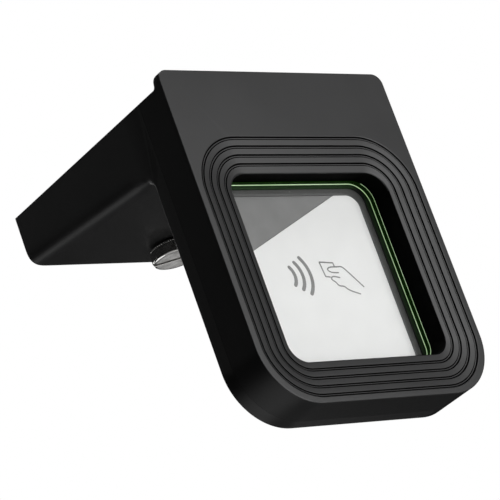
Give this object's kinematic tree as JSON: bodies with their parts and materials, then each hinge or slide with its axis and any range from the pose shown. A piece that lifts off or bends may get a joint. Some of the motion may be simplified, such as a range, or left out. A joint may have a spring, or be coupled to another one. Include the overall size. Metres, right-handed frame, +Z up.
{
  "type": "ticket validator",
  "caption": "Contactless card and code reader: flat head with a recessed square window on a short arm, clamped from below by a knurled thumb screw.",
  "frame": {"origin": "middle of the arm's flat top, which rests against the host device", "axes": "+Z up out of the arm's top; the reading face looks along -Y; +X is to the right when facing the reading face"},
  "size_m": [0.088, 0.082, 0.1089],
  "materials": {
    "faceplate": "satin moulded black",
    "shell": "satin moulded black",
    "glass": "clear glass with a green edge",
    "lens": "coated lens",
    "gasket": "matt black",
    "diffuser": "dark translucent",
    "panel": "printed white",
    "smoked": "smoked",
    "board": "solder resist over glass laminate",
    "led": "clear",
    "tin": "tinned",
    "ribbon": "flat flexible cable",
    "black_screw": "blackened steel",
    "steel": "turned and knurled",
    "brass": "turned",
    "washer": "nylon",
    "label": "blank"
  },
  "bodies": {
    "reader": {"front_housing": "faceplate", "rear_shell": "shell", "arm_cover": "shell", "imager_housing": "shell", "chip_socket": "shell", "sounder": "shell", "window_glass": "glass", "imager_lens": "lens", "glass_gasket": "gasket", "light_frame": "diffuser", "label_panel": "panel", "chip_card": "panel", "scan_window": "smoked", "antenna_board": "board", "main_board": "board", "scan_led_1": "led", "scan_led_2": "led", "status_led_1": "led", "status_led_2": "led", "status_led_3": "led", "status_led_4": "led", "shield_can": "tin", "usb_socket": "tin", "ribbon_cable": "ribbon", "case_screw_1": "black_screw", "case_screw_2": "black_screw", "case_screw_3": "black_screw", "case_screw_4": "black_screw", "cover_screw_1": "black_screw", "cover_screw_2": "black_screw", "cover_screw_3": "black_screw", "cover_screw_4": "black_screw", "board_screw_1": "steel", "board_screw_2": "steel", "board_screw_3": "steel", "board_screw_4": "steel", "screw_bush": "brass", "rating_label": "label"},
    "screw_carrier": {"knob_washer": "washer", "retaining_ring": "steel"},
    "thumb_screw": {"thumb_screw": "steel"}
  },
  "joints": [
    {"name": "screw_travel", "type": "slide", "parent": "reader", "child": "screw_carrier", "axis": [0, 0, 1], "range_m": [-0.00561, 0]},
    {"name": "screw_turn", "type": "hinge", "parent": "screw_carrier", "child": "thumb_screw", "pos_m": [0, 0.0236, 0], "axis": [0, 0, 1], "range_deg": [-2880, 0]}
  ],
  "couplings": [
    {"joint": "screw_travel", "follows": "screw_turn", "m_per_rad": 0.00011141}
  ]
}
